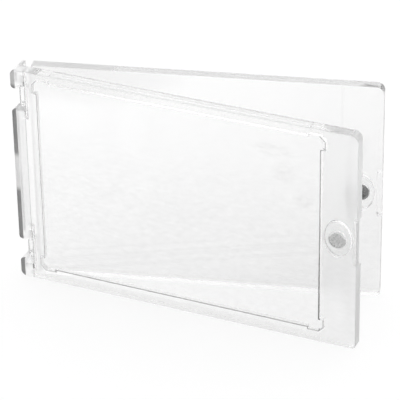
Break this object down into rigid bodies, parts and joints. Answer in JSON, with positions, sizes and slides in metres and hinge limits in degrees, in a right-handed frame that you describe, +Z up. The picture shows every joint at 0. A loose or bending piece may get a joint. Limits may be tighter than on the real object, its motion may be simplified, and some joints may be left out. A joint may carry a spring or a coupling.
{
  "type": "trading card display case",
  "caption": "Clear hinged magnetic case for one trading card, standing open on its long edge: recessed base plate, plain lid plate, disc magnets under oval caps.",
  "frame": {"origin": "centre of the base plate's lower long edge, the face that it stands on", "axes": "+X along the card from the hinge end to the thumb notch, +Y from the base's outer face towards the lid, +Z up"},
  "size_m": [0.11, 0.0337, 0.0718],
  "materials": {
    "clear_base": "clear, polished, injection moulded",
    "clear_lid": "clear, polished, injection moulded",
    "clear_cap": "clear, polished, injection moulded",
    "magnet_metal": "nickel plated, satin"
  },
  "bodies": {
    "base": {"base_shell": "clear_base", "base_magnet": "magnet_metal", "base_magnet_cap": "clear_cap"},
    "lid": {"lid_shell": "clear_lid", "lid_magnet": "magnet_metal", "lid_magnet_cap": "clear_cap"}
  },
  "joints": [
    {"name": "lid_hinge", "type": "hinge", "parent": "base", "child": "lid", "pos_m": [-0.05455, 0.0019, 0.0359], "axis": [0, 0, 1], "range_deg": [-14.25, 30.75]}
  ]
}
